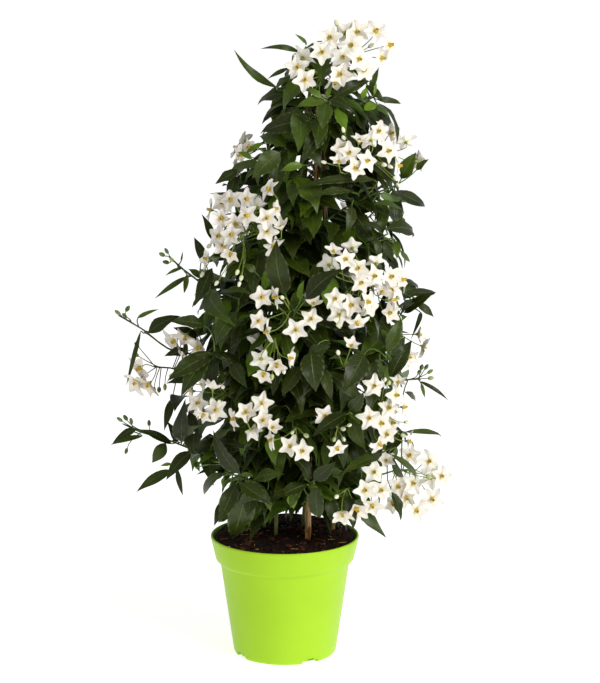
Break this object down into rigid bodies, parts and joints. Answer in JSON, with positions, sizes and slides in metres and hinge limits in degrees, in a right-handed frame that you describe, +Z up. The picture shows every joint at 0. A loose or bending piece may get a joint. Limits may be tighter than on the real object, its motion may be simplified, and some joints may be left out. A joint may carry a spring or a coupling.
{
  "type": "potted potato vine",
  "caption": "Potted potato vine: white star flowers and dark pointed leaves climbing a wigwam of bamboo canes in a lime green nursery pot",
  "frame": {"origin": "middle of the pot's underside, on the surface it stands on", "axes": "+Z up along the pot's axis, +X to the right and -Y to the front as seen in the picture"},
  "size_m": [0.3396, 0.2617, 0.6408],
  "materials": {
    "pot": "satin moulded lime green polypropylene",
    "soil": "damp peaty potting soil with bark and straw",
    "cane": "golden brown bamboo with dark streaks",
    "stem": "green, slightly woody vine stem",
    "leaf": "glossy dark green leaf",
    "flower": "soft warm white petals with yellow anthers"
  },
  "bodies": {
    "root": {"pot": "pot", "soil": "soil", "bamboo_cane_front": "cane", "bamboo_cane_right": "cane", "bamboo_cane_left": "cane", "main_stem_front": "stem", "main_stem_right": "stem", "main_stem_left": "stem", "crown_cluster": "flower", "upper_right_cluster": "flower", "left_upper_cluster": "flower", "right_middle_cluster": "flower", "middle_cluster": "flower", "middle_low_cluster": "flower", "left_drooping_cluster": "flower", "left_low_cluster": "flower", "front_low_cluster": "flower", "front_small_cluster": "flower", "front_bud_cluster": "flower", "right_single_bloom": "flower", "right_low_cluster": "flower", "right_trailing_cluster": "flower", "low_single_bloom": "flower", "left_side_cluster": "flower", "right_side_cluster": "flower", "back_top_cluster": "flower", "back_left_cluster": "flower", "back_right_cluster": "flower", "back_low_cluster": "flower", "side_low_cluster": "flower", "crown_left_shoot": "leaf", "crown_middle_shoot": "leaf", "crown_right_shoot": "leaf", "upper_left_shoot": "leaf", "upper_right_shoot": "leaf", "right_shoulder_shoot": "leaf", "right_middle_shoot": "leaf", "right_low_shoot": "leaf", "middle_shoot": "leaf", "middle_low_shoot": "leaf", "left_middle_shoot": "leaf", "left_top_sprig": "leaf", "left_long_sprig": "leaf", "left_low_shoot": "leaf", "left_bottom_sprig": "leaf", "low_left_shoot": "leaf", "low_middle_shoot": "leaf", "low_right_shoot": "leaf", "right_front_shoot": "leaf", "left_side_shoot": "leaf", "right_side_shoot": "leaf", "back_top_shoot": "leaf", "back_left_high_shoot": "leaf", "back_right_high_shoot": "leaf", "back_middle_shoot": "leaf", "back_left_shoot": "leaf", "back_right_shoot": "leaf", "back_low_shoot": "leaf", "right_side_low_shoot": "leaf"}
  },
  "joints": []
}
